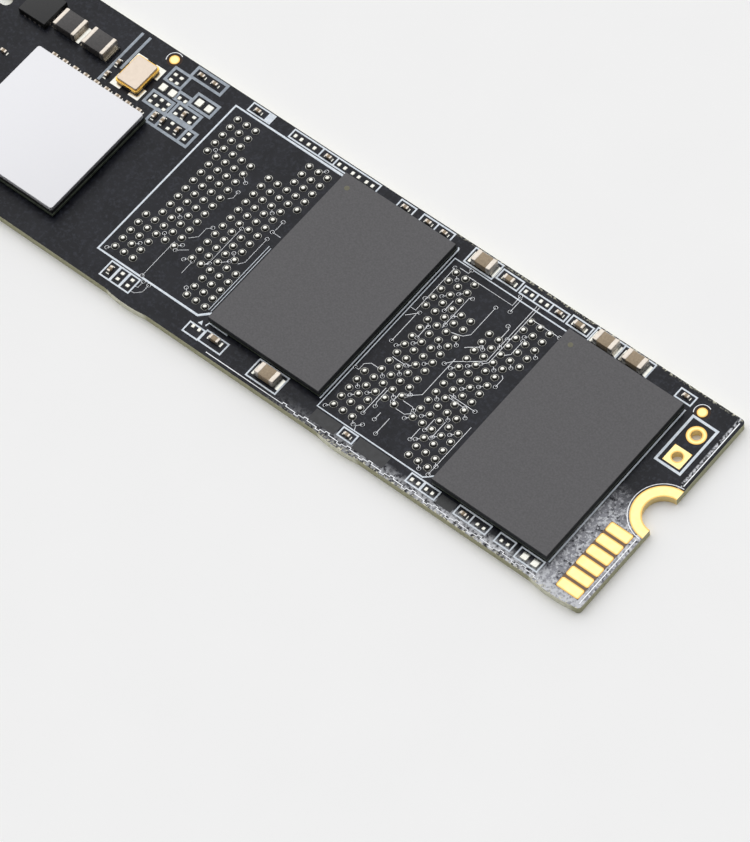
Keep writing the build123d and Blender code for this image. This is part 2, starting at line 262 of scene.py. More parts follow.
@dataclass(frozen=True)
class RoundRimmed(Rimmed):
    """A rimmed finish for a ring, whose rims are found from its middle.

    Attributes:
        fade: width over which the rim's painted shade fades.
    """

    middle: Point
    inner: float
    outer: float
    fade: float

    def rim(self, tree: Tree) -> Socket:
        """Works out the nearness to the inner and the outer rim.

        Args:
            tree: node tree of the material.

        Returns:
            Socket that is 1 at either rim of the upper face.
        """
        place = add_node(tree, "TexCoord", out="Object")
        x, y = self.middle
        flat = {"Vector": place, "Location": (-x * MM, -y * MM, 0.0), "Scale": (1.0, 1.0, 0.0)}
        centred = add_node(tree, "Mapping", flat)
        radius = add_node(tree, "VectorMath", {0: centred}, {"operation": "LENGTH"}, "Value")
        near = []
        for edge, step in ((self.inner, self.fade), (self.outer, -self.fade)):
            slope = {"Value": radius, "From Min": (edge + step) * MM, "From Max": edge * MM}
            near.append(add_node(tree, "MapRange", slope))
        either = add_node(tree, "Math", {0: near[0], 1: near[1]}, {"operation": "MAXIMUM"})
        return add_node(tree, "Math", {0: either, 1: facing_up(tree)}, {**TIMES, "use_clamp": True})


@dataclass(frozen=True)
class Moulding(Mottled):
    """Filled epoxy: a pale spark-eroded top and dark sawn sides, whose darkness is partly painted shade."""

    side: str

    def look(self, tree: Tree) -> Inputs:
        """Darkens the faces that don't look up, partly as painted shade.

        Args:
            tree: node tree of the material.

        Returns:
            Inputs of its shader.
        """
        inputs = super().look(tree)
        share = add_node(tree, "MapRange", {"Value": facing_up(tree), **TOP_LIMITS})
        shades = {SHARE: share, UNDER: self.side, OVER: inputs["Base Color"]}
        inputs["Base Color"] = add_node(tree, "Mix", shades, BLEND, MIXED)
        return inputs


@dataclass(frozen=True)
class Blots:
    """Blots of another shade in the solder mask.

    Attributes:
        shade: their shade.
        size: their width.
        limits: noise at which they start and at which they are full.
        slopes: axis and the two places between which they grow from none to full.
    """

    shade: str
    size: float
    limits: Point
    slopes: tuple[Slope, ...] = ()

    def lay(self, tree: Tree, below: Socket, axes: dict[str, Socket]) -> Socket:
        """Lays the blots over the mask.

        Args:
            tree: node tree of the material.
            below: colour of the mask without them.
            axes: the card's own coordinates, whole and by axis.

        Returns:
            Colour of the mask with them.
        """
        scale = per_mm(self.size)
        grain = {"Vector": axes["XYZ"], "Scale": scale, "Detail": 4.0, "Roughness": 0.65}
        noise = add_node(tree, "TexNoise", grain)
        start, full = self.limits
        share = add_node(tree, "MapRange", {"Value": noise, "From Min": start, "From Max": full})
        for axis, none, full in self.slopes:
            slope = {"Value": axes[axis], "From Min": none * MM, "From Max": full * MM}
            share = add_node(tree, "Math", {0: share, 1: add_node(tree, "MapRange", slope)}, TIMES)
        return add_node(tree, "Mix", {SHARE: share, UNDER: below, OVER: self.shade}, BLEND, MIXED)


@dataclass(frozen=True)
class MaskedCard(Finish):
    """Black solder mask over copper and glass epoxy, with the epoxy bare on the sawn sides.

    Attributes:
        over_epoxy, over_copper: mask without and with copper below it, which stands a little proud.
        bare: laminate at the bottom of an opening in the mask, darkened as painted shade.
        epoxy, epoxy_dark: laminate of the sides and its darker plies.
        fibre: torn glass on the stubs.
        island, ripple, weave: width of a copper area, of the orange peel and of the glass.
        peel_relief, copper_relief: height of the orange peel and of the copper areas.
        spread: spread of the reflections on the mask and on the sides.
        gloss: strength of the reflections.
        layers: blots in the mask, from the lowest up.
    """

    over_epoxy: str
    over_copper: str
    bare: str
    epoxy: str
    epoxy_dark: str
    fibre: str
    island: float
    ripple: float
    weave: float
    peel_relief: float
    copper_relief: float
    spread: Point
    gloss: float
    layers: tuple[Blots, ...]

    def look(self, tree: Tree) -> Inputs:
        """Builds the mask, the openings in it and the sides.

        Args:
            tree: node tree of the material.

        Returns:
            Inputs of its shader.
        """
        place = add_node(tree, "TexCoord", out="Object")
        axes = {axis: add_node(tree, "SeparateXYZ", {0: place}, out=axis) for axis in "XYZ"}
        axes["XYZ"] = place
        axes["off middle"] = add_node(tree, "Math", {0: axes["Y"]}, {"operation": "ABSOLUTE"})
        areas = add_node(tree, "TexNoise", {"Vector": place, "Scale": per_mm(self.island), "Detail": 1.5})
        copper = add_node(tree, "MapRange", {"Value": areas, **COPPER_LIMITS})
        shades = {SHARE: copper, UNDER: self.over_epoxy, OVER: self.over_copper}
        mask = add_node(tree, "Mix", shades, BLEND, MIXED)
        for blots in self.layers:
            mask = blots.lay(tree, mask, axes)
        half = CARD_TOP / 2
        sunk = add_node(tree, "Math", {0: axes["Z"], 1: half, 2: half - SUNK_BY * MM}, CLOSE)
        # Openings deeper than SUNK_BY show the laminate darkened as painted shade.
        mask = add_node(tree, "Mix", {SHARE: sunk, UNDER: mask, OVER: self.bare}, BLEND, MIXED)
        steep = add_node(tree, "Math", {0: facing_up(tree), 1: 0.0, 2: STEEP}, CLOSE)
        shades = {SHARE: steep, UNDER: mask, OVER: self.side_shade(tree, axes)}
        peel = add_node(tree, "TexNoise", {"Vector": place, "Scale": per_mm(self.ripple), "Detail": 2.0})
        rippled = add_node(tree, "Bump", {"Height": peel, "Distance": self.peel_relief * MM})
        proud = {"Height": copper, "Distance": self.copper_relief * MM, "Normal": rippled}
        spread = {"Value": steep, "To Min": self.spread[0], "To Max": self.spread[1]}
        return {
            "Base Color": add_node(tree, "Mix", shades, BLEND, MIXED),
            "Roughness": add_node(tree, "MapRange", spread),
            "Normal": add_node(tree, "Bump", proud),
            "Specular IOR Level": self.gloss,
        }

    def side_shade(self, tree: Tree, axes: dict[str, Socket]) -> Socket:
        """Mixes the plies of the sides with the torn glass of the stubs.

        Args:
            tree: node tree of the material.
            axes: the card's own coordinates, whole and by axis.

        Returns:
            Colour of the sides.
        """
        plies = add_node(tree, "Mapping", {"Vector": axes["XYZ"], "Scale": PLIES})
        weave = add_node(tree, "TexNoise", {"Vector": plies, "Scale": per_mm(self.weave), "Detail": 3.0})
        shades = {SHARE: weave, UNDER: self.epoxy_dark, OVER: self.epoxy}
        side = add_node(tree, "Mix", shades, BLEND, MIXED)
        outward = {"Value": axes["Y"], "From Min": -CARD_EDGE, "From Max": -CARD_EDGE - EDGE_FADE * MM}
        stub = add_node(tree, "MapRange", outward)
        frayed = add_node(tree, "MapRange", {"Value": weave, **FRAY_LIMITS})
        torn = add_node(tree, "Math", {0: stub, 1: frayed}, TIMES)
        return add_node(tree, "Mix", {SHARE: torn, UNDER: side, OVER: self.fibre}, BLEND, MIXED)


BY_NOTCH: tuple[Slope, ...] = (("X", 34.9, 36.0), ("Y", 0.5, -3.0))
BETWEEN_PADS: tuple[Slope, ...] = (
    ("X", PADS_LOW.x - EDGE_FADE, PADS_LOW.x),
    ("X", PADS_HIGH.x + EDGE_FADE, PADS_HIGH.x),
    ("Y", PADS_LOW.y - EDGE_FADE, PADS_LOW.y),
    ("Y", PADS_HIGH.y + EDGE_FADE, PADS_HIGH.y),
)
# Liquid photo-imaged solder mask: near black and glossy, a shade greyer over copper. On it lie pale dust,
# drawn coarse enough to show, grey blots by the notch, pale specks by the notch, along the near edge and in
# a line at the end that are painted glints, pale flecks along the long edges that are partly chipped mask
# and partly painted edge highlight, and brown laminate between the service pads.
SOLDER_MASK = MaskedCard(
    "black solder mask on glass epoxy",
    over_epoxy="#020410",
    over_copper="#0d0f19",
    # Laminate darkened as painted shade in the openings.
    bare="#301c0d",
    epoxy="#cac8ab",
    epoxy_dark="#9b9976",
    fibre="#f2f1dc",
    island=2.6,
    ripple=0.22,
    weave=0.5,
    peel_relief=0.012,
    copper_relief=0.006,
    spread=(0.36, 0.8),
    gloss=0.26,
    layers=(
        Blots("#2b2e38", 0.34, (0.5, 0.76)),
        Blots("#92939a", 0.36, (0.36, 0.48), BY_NOTCH),
        # Painted glints by the notch.
        Blots("#cfd1d6", 0.3, (0.49, 0.58), BY_NOTCH),
        # Painted glints along the near edge.
        Blots("#cfd1d6", 0.35, (0.4, 0.58), (("X", 6.0, 28.0), ("Y", -9.7, -10.5))),
        # Painted edge highlight in a line at the card's end.
        Blots("#cfd1d6", 0.3, (0.42, 0.54), (("X", 39.3, 39.42), ("X", 39.64, 39.52))),
        # Pale flecks on both long edges: chipped mask and painted edge highlight.
        Blots("#dcd9c4", 0.28, (0.52, 0.58), (("off middle", 10.75, 10.95), ("X", 6.0, 16.0))),
        Blots("#7a6350", 0.3, (0.1, 0.35), BETWEEN_PADS),
    ),
)
# Immersion gold: soft yellow with cream reflections, and amber painted shade where it turns over an edge.
GOLD_SHADES = ("#f8e2a4", "#f2d896", 0.5, 1.0, 0.36, 0.32, 0.004, "#dba64c", 0.3)
GOLD = Rimmed("immersion gold on copper with painted rim shade", *GOLD_SHADES)
# Reflowed tin solder: bright, a little frosted.
SOLDER = Mottled("reflowed tin solder", "#dddcd5", "#cccbc2", 0.18, 1.0, 0.3, 0.24, 0.004)
# The same as a dome: a pale crown, half frosted by flux, over a skirt painted dark as its shade.
DOME_SOLDER_PAINTED_SHADE = Rimmed(
    "fluxed tin solder dome with painted skirt shade", "#f2f1ea", "#e4e3da", 0.18, 0.6, 0.24, 0.2, 0.003, "#1f1e1a", 0.4
)
# Filled mould epoxy: matte grey top with a fine sparkle of filler, the grain drawn coarse enough to show;
# its sides are darker, partly as sawn epoxy and partly as painted shade.
MOULD = Moulding("filled mould epoxy", "#636264", "#565557", 0.16, 0.0, 0.84, 0.78, 0.006, "#26282b")
# Mould of the controller and the power chip: darker and smoother than the memory's, its sides darker
# still, partly as painted shade.
CHIP_MOULD = Moulding("dark mould epoxy", "#2c2c2d", "#242425", 0.3, 0.0, 0.7, 0.62, 0.01, "#0d0e10")
# Nickel-plated copper, etched satin: an even white sheen with faint finger-worn clouds.
NICKEL = Mottled("satin nickel plate", "#dadadd", "#d5d5d8", 1.6, 1.0, 0.62, 0.57, 0.004)
# Barium titanate ceramic: tan and dull.
CERAMIC = Mottled("fired capacitor ceramic", "#a28f75", "#8c7a61", 0.2, 0.0, 0.5, 0.42, 0.006)
# Tin-plated chip ends: pale metal, a little warm, satin.
TIN = Mottled("tin-plated chip end", "#d8d0c6", "#c6bdb2", 0.25, 1.0, 0.45, 0.38, 0.006)
# Pressed ferrite block: charcoal, slightly grainy.
FERRITE = Mottled("pressed ferrite", "#4a4747", "#353333", 0.25, 0.0, 0.62, 0.5, 0.01)
# Package laminate edge: thin greenish resin line.
LAMINATE = Mottled("package laminate edge", "#596152", "#3b4236", 0.35, 0.0, 0.6, 0.5, 0.006)
# Screen-printed epoxy ink: bluish white, chalky, slightly broken coverage.
INK = Mottled("screen-printed legend ink", "#eef4fa", "#d2dce7", 0.3, 0.0, 0.7, 0.6, 0.004)
# The same where the print is thin: greyer.
THIN_INK = Mottled("thin legend ink", "#aab3bd", "#8d96a1", 0.3, 0.0, 0.7, 0.6, 0.004)
# Mask over a copper trace, painted silvery as its highlight; black as painted shade in the dish of a via.
TRACE_PAINTED_LIGHT = Rimmed(
    "copper trace and mask edge with painted highlight and shade", "#eff0f3", "#d3d6da", 0.4, 1.0, 0.38, 0.32, 0.004, "#0b0b0d", 0.4
)
# Mask over a wide copper area: charcoal, faintly blotched.
POUR = Mottled("mask over copper area", "#2f3033", "#1d1e20", 0.45, 0.0, 0.46, 0.38, 0.008)
# Kovar crystal lid with a satin, faintly rosy sheen.
CRYSTAL_LID = Mottled("seam-welded crystal lid", "#d5c8ba", "#cbbeb0", 0.5, 1.0, 0.52, 0.46, 0.004)
# Gold-plated seal ring of the crystal.
SEAL_RING = Mottled("gilded seal ring", "#fbcf70", "#e9b852", 0.3, 1.0, 0.4, 0.34, 0.005)
# White alumina under it, painted darker as its shade.
ALUMINA_PAINTED_SHADE = Mottled("fired alumina tub in painted shade", "#6d6052", "#564a3d", 0.3, 0.0, 0.6, 0.5, 0.006)
# Laser-scorched epoxy: a faint yellowish grey.
PIN_MARK = Mottled("laser-scorched epoxy", "#74725f", "#686656", 0.15, 0.0, 0.8, 0.7, 0.004)
# Matt white board of the stage.
WHITE_BOARD = Mottled("matt white board", "#fafafa", "#f9f9f9", 8.0, 0.0, 0.9, 0.9, 0.0)


# Shapes

# 2 gives a dome the profile of an ellipse, and more gives it a flatter crown.
CROWN_POWER = 2.9
# A ring's lip, and how deep its middle lies as a share of the slope's run and of the height.
RING_LIP = 0.012
RING_DEPTH = (0.7, 0.8)
# Rectangles that overlap don't lie in one plane: each is a little thicker than the one before.
SHEET_STEP = 0.0003
ARC_STEPS = 32
# Faces round a dome, a land's rim, a via, a first-pin mark and a camera target.
DOME_SIDES, LAND_SIDES, VIA_SIDES, MARK_SIDES, TARGET_SIDES = 12, 14, 12, 24, 36
BALL_RADIUS = 0.26
PIN_MARK_HEIGHT = 0.008
# Angle under which faces shade as one.
SMOOTH_UNDER = 50.0
# It shares no factor with the spacing of a site's short traces, which spreads them over the rows.
STUB_STRIDE = 7


@dataclass(frozen=True)
class Span:
    """Box of one solid.

    Attributes:
        low: lowest corner in metres.
        high: highest corner in metres.
    """

    low: Vector
    high: Vector

    @classmethod
    def around(cls, places: Iterable[Vector]) -> "Span":
        """Box round some points."""
        columns = list(zip(*places))
        return cls(Vector([min(column) for column in columns]), Vector([max(column) for column in columns]))

    @property
    def middle(self) -> Vector:
        """Middle of the box."""
        return (self.low + self.high) / 2

    @property
    def size(self) -> Vector:
        """Size along X, Y and Z."""
        return self.high - self.low


def solids_of(node: str) -> list[Span]:
    """Finds the separate solids of a CAD node.

    Args:
        node: name of the node.

    Returns:
        The box of each solid, sorted along X and then Y.
    """
    mesh = bmesh.new()
    mesh.from_mesh(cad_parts[node].data)
    bmesh.ops.remove_doubles(mesh, verts=mesh.verts[:], dist=WELD)
    spans = []
    left = set(mesh.verts)
    while left:
        front = [left.pop()]
        places = []
        while front:
            vert = front.pop()
            places.append(vert.co.copy())
            near = {edge.other_vert(vert) for edge in vert.link_edges} & left
            left -= near
            front.extend(near)
        spans.append(Span.around(places))
    mesh.free()
    return sorted(spans, key=lambda span: (round(span.middle.x, 6), round(span.middle.y, 6)))


def kept(mesh: BMesh, name: str) -> bpy.types.Mesh:
    """Turns a working mesh into stored mesh data and frees it.

    Args:
        mesh: working mesh.
        name: name of the data.

    Returns:
        The stored mesh, with its faces outwards.
    """
    data = bpy.data.meshes.new(name)
    bmesh.ops.recalc_face_normals(mesh, faces=mesh.faces[:])
    mesh.to_mesh(data)
    mesh.free()
    return data


def stamp(mesh: BMesh, pattern: bpy.types.Mesh, place: Matrix) -> None:
    """Adds a copy of a small shape at a place.

    Args:
        mesh: working mesh that gets the copy.
        pattern: the shape.
        place: where it goes.
    """
    start = len(mesh.verts)
    mesh.from_mesh(pattern)
    mesh.verts.ensure_lookup_table()
    bmesh.ops.transform(mesh, matrix=place, verts=mesh.verts[start:])


def block(mesh: BMesh, span: Span) -> list[BMEdge]:
    """Adds a plain block that a bevel is to shape.

    Args:
        mesh: working mesh that gets the block.
        span: its box.

    Returns:
        Its edges.
    """
    place = Matrix.Translation(span.middle) @ Matrix.Diagonal((*span.size, 1.0))
    verts = bmesh.ops.create_cube(mesh, size=1.0, matrix=place)["verts"]
    return list(dict.fromkeys(edge for vert in verts for edge in vert.link_edges))


def soften(mesh: BMesh, edges: list[BMEdge], radius: float, segments: int) -> None:
    """Rounds some edges.

    Args:
        mesh: working mesh.
        edges: edges to round.
        radius: rounding.
        segments: faces across the rounding.
    """
    shape = {"offset": radius * MM, "segments": segments, "profile": 0.5, "clamp_overlap": True}
    bmesh.ops.bevel(mesh, geom=edges, affect="EDGES", material=-1, **shape)


def upright(edges: Iterable[BMEdge]) -> list[BMEdge]:
    """Picks the edges that stand along Z."""
    return [edge for edge in edges if abs(edge.verts[0].co.z - edge.verts[1].co.z) > WELD]


def highest(parts: Iterable[BMEdge | bmesh.types.BMVert]) -> bmesh.types.BMFace:
    """Finds the highest of the faces that meet some edges or corners."""
    faces = dict.fromkeys(face for part in parts for face in part.link_faces)
    return max(faces, key=lambda face: face.calc_center_median().z)


def trim(mesh: BMesh, height: float, side: float) -> None:
    """Cuts off what lies past a level plane and closes the cut.

    Args:
        mesh: working mesh.
        height: height of the plane in metres.
        side: 1 to cut off what lies over it, -1 for what lies under it.
    """
    plane = {"plane_co": (0.0, 0.0, height), "plane_no": (0.0, 0.0, side)}
    everything = mesh.verts[:] + mesh.edges[:] + mesh.faces[:]
    bmesh.ops.bisect_plane(mesh, geom=everything, clear_outer=True, **plane)
    bmesh.ops.holes_fill(mesh, edges=mesh.edges[:], sides=len(mesh.edges))


def rounded_block(mesh: BMesh, span: Span, radius: float, segments: int) -> None:
    """Adds a block with all its edges rounded."""
    soften(mesh, block(mesh, span), radius, segments)


def mound(mesh: BMesh, span: Span, radius: float) -> None:
    """Adds a pillow of solder whose upper edges are rounded and whose foot is flat.

    Args:
        mesh: working mesh that gets the mound.
        span: its box.
        radius: rounding of its upper edges.
    """
    edges = block(mesh, span)
    upper = [edge for edge in edges if max(vert.co.z for vert in edge.verts) > span.middle.z]
    soften(mesh, upper, radius, 4)


def cap_pattern(radius: float, height: float, segments: int, bright: float, dull: float) -> bpy.types.Mesh:
    """Makes a dome with a flattened crown, standing on z = 0, whose skirt takes painted shade.

    Args:
        radius: radius of its foot.
        height: its height.
        segments: faces round it.
        bright: share of the radius up to which its crown is free of painted shade.
        dull: share of the radius from which its skirt is fully in painted shade.

    Returns:
        Mesh data of the dome.
    """
    mesh = bmesh.new()
    bmesh.ops.create_uvsphere(mesh, u_segments=segments, v_segments=10, radius=radius * MM)
    trim(mesh, 0.0, -1.0)
    rim = mesh.verts.layers.float.new("rim")
    for vert in mesh.verts:
        share = min(1.0, vert.co.xy.length / (radius * MM))
        vert.co.z = height * MM * (1.0 - share ** CROWN_POWER) ** (1.0 / CROWN_POWER)
        # rim grows over the skirt as painted shade.
        vert[rim] = max(0.0, min(1.0, (share - bright) / (dull - bright)))
    return kept(mesh, "solder_dome")


def ring_pattern(inner: float, outer: float, height: float, segments: int) -> bpy.types.Mesh:
    """Makes a low ring that slopes in towards a middle, with the middle and the outer wall marked for
    painted shade.

    Args:
        inner: radius of the middle.
        outer: radius of the ring.
        height: its height.
        segments: faces round it.

    Returns:
        Mesh data of the ring.
    """
    crest = outer - RING_LIP
    mesh = bmesh.new()
    half = height * MM / 2
    size = {"segments": segments, "radius1": outer * MM, "radius2": crest * MM, "depth": height * MM}
    bmesh.ops.create_cone(mesh, cap_ends=True, matrix=Matrix.Translation((0.0, 0.0, half)), **size)
    rim = mesh.verts.layers.float.new("rim")
    for vert in mesh.verts:
        # The foot of the outer wall is marked for painted shade.
        vert[rim] = 1.0 if vert.co.z < half else 0.0
    top = highest(mesh.verts)
    bmesh.ops.inset_region(mesh, faces=[top], thickness=(crest - inner) * MM)
    drop = min(RING_DEPTH[0] * (crest - inner), RING_DEPTH[1] * height)
    bmesh.ops.translate(mesh, verts=top.verts[:], vec=(0.0, 0.0, -drop * MM))
    bmesh.ops.inset_region(mesh, faces=[top], thickness=RING_LIP * MM)
    # The middle is marked for painted shade.
    for vert in top.verts:
        vert[rim] = 1.0
    return kept(mesh, "dished_ring")


def fillet_pattern(steps: int) -> bpy.types.Mesh:
    """Makes a hollow solder fillet of unit size that rises towards x = 0.

    Args:
        steps: faces along its curve.

    Returns:
        Mesh data of the fillet.
    """
    mesh = bmesh.new()
    ends = [mesh.verts.new((0.0, side, 1.0)) for side in (-0.5, 0.5)]
    crest = mesh.edges.new(ends)
    turn = {"cent": (1.0, 0.0, 1.0), "axis": (0.0, -1.0, 0.0), "angle": math.pi / 2, "steps": steps}
    bmesh.ops.spin(mesh, geom=ends + [crest], use_merge=False, use_duplicate=False, **turn)
    heel = [mesh.verts.new((0.0, side, 0.0)) for side in (-0.5, 0.5)]
    for side, corner in zip((-0.5, 0.5), heel):
        curve = [vert for vert in mesh.verts if vert.co.y * side > 0.0 and vert is not corner]
        curve.sort(key=lambda vert: vert.co.x - vert.co.z)
        mesh.faces.new(curve + [corner])
    bmesh.ops.holes_fill(mesh, edges=mesh.edges[:], sides=6)
    return kept(mesh, "solder_fillet")


def ridges(mesh: BMesh, routes: Iterable[Route], width: float, height: float) -> None:
    """Adds low rounded lines that lie on the card.

    Args:
        mesh: working mesh that gets the lines.
        routes: corners of each line on the card.
        width: width of a line.
        height: how far it stands up.
    """
    curve = bpy.data.curves.new("line", "CURVE")
    curve.dimensions = "3D"
    curve.bevel_depth = width / 2 * MM
    curve.bevel_resolution = 1
    curve.use_fill_caps = True
    for route in routes:
        spline = curve.splines.new("POLY")
        spline.points.add(len(route) - 1)
        for point, (x, y) in zip(spline.points, route):
            point.co = (x * MM, y * MM, 0.0, 1.0)
    drawn = bpy.data.objects.new("line", curve)
    data = bpy.data.meshes.new_from_object(drawn)
    flat = Matrix.Diagonal((1.0, 1.0, 2 * height / width, 1.0))
    stamp(mesh, data, Matrix.Translation((0.0, 0.0, CARD_TOP)) @ flat)
    bpy.data.objects.remove(drawn)
    bpy.data.curves.remove(curve)
    bpy.data.meshes.remove(data)


def sheets(mesh: BMesh, rects: Iterable[Rect], height: float, line: float = 0.0) -> None:
    """Adds thin flat rectangles that lie on the card, filled or as outlines.

    Args:
        mesh: working mesh that gets the rectangles.
        rects: lowest and highest X, and lowest and highest Y, of each.
        height: thickness.
        line: width of the outline, or 0 for a filled one.
    """
    for number, (left, right, near, far) in enumerate(rects):
        place = Matrix.Translation(((left + right) / 2 * MM, (near + far) / 2 * MM, CARD_TOP))
        place @= Matrix.Diagonal(((right - left) * MM, (far - near) * MM, 1.0, 1.0))
        corners = bmesh.ops.create_grid(mesh, x_segments=1, y_segments=1, size=0.5, matrix=place)["verts"]
        middle = corners[0].link_faces[0]
        faces = [middle]
        if line:
            faces = bmesh.ops.inset_region(
                mesh, faces=[middle], thickness=line * MM, use_boundary=True, use_even_offset=True
            )["faces"]
            bmesh.ops.delete(mesh, geom=[middle], context="FACES_ONLY")
        raised = bmesh.ops.extrude_face_region(mesh, geom=faces)["geom"]
        verts = [item for item in raised if isinstance(item, bmesh.types.BMVert)]
        bmesh.ops.translate(mesh, verts=verts, vec=(0.0, 0.0, (height + SHEET_STEP * number) * MM))


def arc(x: float, y: float, radius: float, start: float, stop: float) -> Route:
    """Works out an arc on the card.

    Args:
        x: middle of the arc along X.
        y: the same along Y.
        radius: its radius.
        start: angle of its first point.
        stop: angle of its last point.

    Returns:
        Points of the arc.
    """
    angles = [math.radians(start + (stop - start) * step / ARC_STEPS) for step in range(ARC_STEPS + 1)]
    return tuple((x + radius * math.cos(angle), y + radius * math.sin(angle)) for angle in angles)


def place_piece(
    name: str, mesh: BMesh, finish: Finish, replaces: Sequence[str] = ()
) -> None:
    """Makes a finished piece of a working mesh.

    Args:
        name: name of the piece.
        mesh: working mesh, which is freed.
        finish: what the piece wears.
        replaces: CAD nodes that it stands for.
    """
    data = kept(mesh, name)
    data.shade_smooth()
    data.set_sharp_from_angle(angle=math.radians(SMOOTH_UNDER))
    data.materials.append(finish.material())
    piece = bpy.data.objects.new(name, data)
    bpy.context.scene.collection.objects.link(piece)
    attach(piece, "root")
    if replaces:
        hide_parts(*replaces)
    log.info("%s: %d faces of %s", name, len(data.polygons), finish.name)


def dress_node(node: str, finish: Finish) -> None:
    """Gives a CAD node its finish.

    Args:
        node: the CAD node.
        finish: what it wears.
    """
    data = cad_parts[node].data
    data.materials.clear()
    data.materials.append(finish.material())
    log.info("%s: CAD shape in %s", node, finish.name)


def soften_top(node: str, name: str, radius: float, finish: Finish) -> None:
    """Replaces a flat CAD piece by one whose upper edge is rounded.

    Args:
        node: CAD node that gives the shape.
        name: name of the new piece.
        radius: rounding.
        finish: what the piece wears.
    """
    mesh = bmesh.new()
    mesh.from_mesh(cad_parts[node].data)
    bmesh.ops.remove_doubles(mesh, verts=mesh.verts[:], dist=WELD)
    bmesh.ops.dissolve_limit(
        mesh, angle_limit=math.radians(1.0), verts=mesh.verts[:], edges=mesh.edges[:], delimit={"NORMAL"}
    )
    top = max(vert.co.z for vert in mesh.verts)
    rim = [edge for edge in mesh.edges if all(top - vert.co.z < WELD for vert in edge.verts)]
    soften(mesh, rim, radius, 3)
    place_piece(name, mesh, finish, [node])


def shape_solids(
    node: str, name: str, shape: Callable[[BMesh, Span], None], finish: Finish
) -> list[Span]:
    """Replaces a CAD node by a piece that has a new shape in place of each solid.

    Args:
        node: the CAD node.
        name: name of the new piece.
        shape: adds the shape for one solid's box to a working mesh.
        finish: what the piece wears.

    Returns:
        Boxes of the solids.
    """
    mesh = bmesh.new()
    spans = solids_of(node)
    for span in spans:
        shape(mesh, span)
    place_piece(name, mesh, finish, [node])
    return spans


def press_balls(package: str) -> None:
    """Replaces a package's solder posts by balls pressed flat at both ends.

    Args:
        package: name of the package.
    """
    node = f"{package}_balls"
    height = Span(*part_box(node)).size.z
    mesh = bmesh.new()
    bmesh.ops.create_uvsphere(mesh, u_segments=8, v_segments=6, radius=BALL_RADIUS * MM)
    for side in (-1.0, 1.0):
        trim(mesh, side * height / 2, side)
    ball = kept(mesh, "pressed_ball")
    shape_solids(
        node,
        f"{package}_pressed_balls",
        lambda balls, post: stamp(balls, ball, Matrix.Translation(post.middle)),
        SOLDER,
    )


def mark_first_pin(part: str, inset: Point, radii: Point) -> None:
    """Sets the first-pin mark near a corner of a moulded block.

    Args:
        part: name of the part.
        inset: from the block's corner to the mark.
        radii: inner and outer radius of the mark.
    """
    low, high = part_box(f"{part}_mould")
    place = Matrix.Translation((low.x + inset[0] * MM, high.y - inset[1] * MM, high.z))
    mesh = bmesh.new()
    stamp(mesh, ring_pattern(*radii, PIN_MARK_HEIGHT, MARK_SIDES), place)
    place_piece(f"{part}_first_pin_mark", mesh, PIN_MARK)


# Sub-assemblies


@dataclass
class Card:
    """The circuit card with its contacts, guard trace and copper areas.

    A size is a width and a height, and an arc is a radius and two angles.

    Attributes:
        guard_run: X where the guard trace starts and where it ends.
        guard_plain: X up to which it runs straight.
        guard_pitch, guard_drift: distance between its notches, and what is added and taken off by turns.
        guard_notch: length and depth of a notch.
        ring_arc, target_arc: the mask's edge round the screw ring and round a camera target, drawn as a
            painted highlight.
        end_x, end_reach: X and Y of the mask's edge at the card's end, drawn as a painted highlight.
        pours: copper areas between the parts of the near edge.
    """

    guard_y: float = -10.66
    guard_run: Point = (0.2, 36.0)
    guard_plain: float = 8.5
    guard_pitch: float = 1.15
    guard_drift: float = 0.25
    guard_notch: Point = (0.38, 0.17)
    guard_size: Point = (0.1, 0.02)
    ring_arc: tuple[float, float, float] = (2.92, 92.0, 268.0)
    ring_size: Point = (0.08, 0.02)
    end_x: float = 39.68
    end_reach: Point = (10.55, 3.1)
    end_size: Point = (0.09, 0.015)
    target_arc: tuple[float, float, float] = (0.74, 60.0, 215.0)
    target_size: Point = (0.07, 0.015)
    pour_height: float = 0.01
    pours: tuple[Rect, ...] = (
        (11.1, 13.8, -10.4, -9.25), (15.75, 19.0, -10.45, -9.25), (24.5, 26.1, -10.3, -9.3),
    )

    def build(self) -> None:
        """Dresses the card and its contacts and lays the guard trace and the copper areas."""
        dress_node("circuit_board", SOLDER_MASK)
        for node in ("edge_contacts_top", "edge_contacts_under"):
            dress_node(node, GOLD)
        # Guard trace, mask edges and target rings are silvery ridges whose colour is a painted highlight.
        mesh = bmesh.new()
        ridges(mesh, [self.guard_route()], *self.guard_size)
        ridges(mesh, [arc(CARD_END / MM, 0.0, *self.ring_arc)], *self.ring_size)
        for side in (-1.0, 1.0):
            ridges(mesh, [tuple((self.end_x, side * y) for y in self.end_reach)], *self.end_size)
        for target in solids_of("camera_targets"):
            middle = target.middle / MM
            ridges(mesh, [arc(middle.x, middle.y, *self.target_arc)], *self.target_size)
        place_piece("guard_trace", mesh, TRACE_PAINTED_LIGHT)
        mesh = bmesh.new()
        sheets(mesh, self.pours, self.pour_height)
        place_piece("copper_areas", mesh, POUR)

    def guard_route(self) -> Route:
        """Works out the guard trace's corners.

        Returns:
            Straight first run and the notched rest.
        """
        length, depth = self.guard_notch
        x, end = self.guard_run
        route = [(x, self.guard_y)]
        x = self.guard_plain
        side = 1.0
        while x < end:
            low, high = self.guard_y, self.guard_y + side * depth
            route += [(x, low), (x, high), (x + length, high), (x + length, low)]
            x += self.guard_pitch + self.guard_drift * side
            side = -side
        return tuple(route)


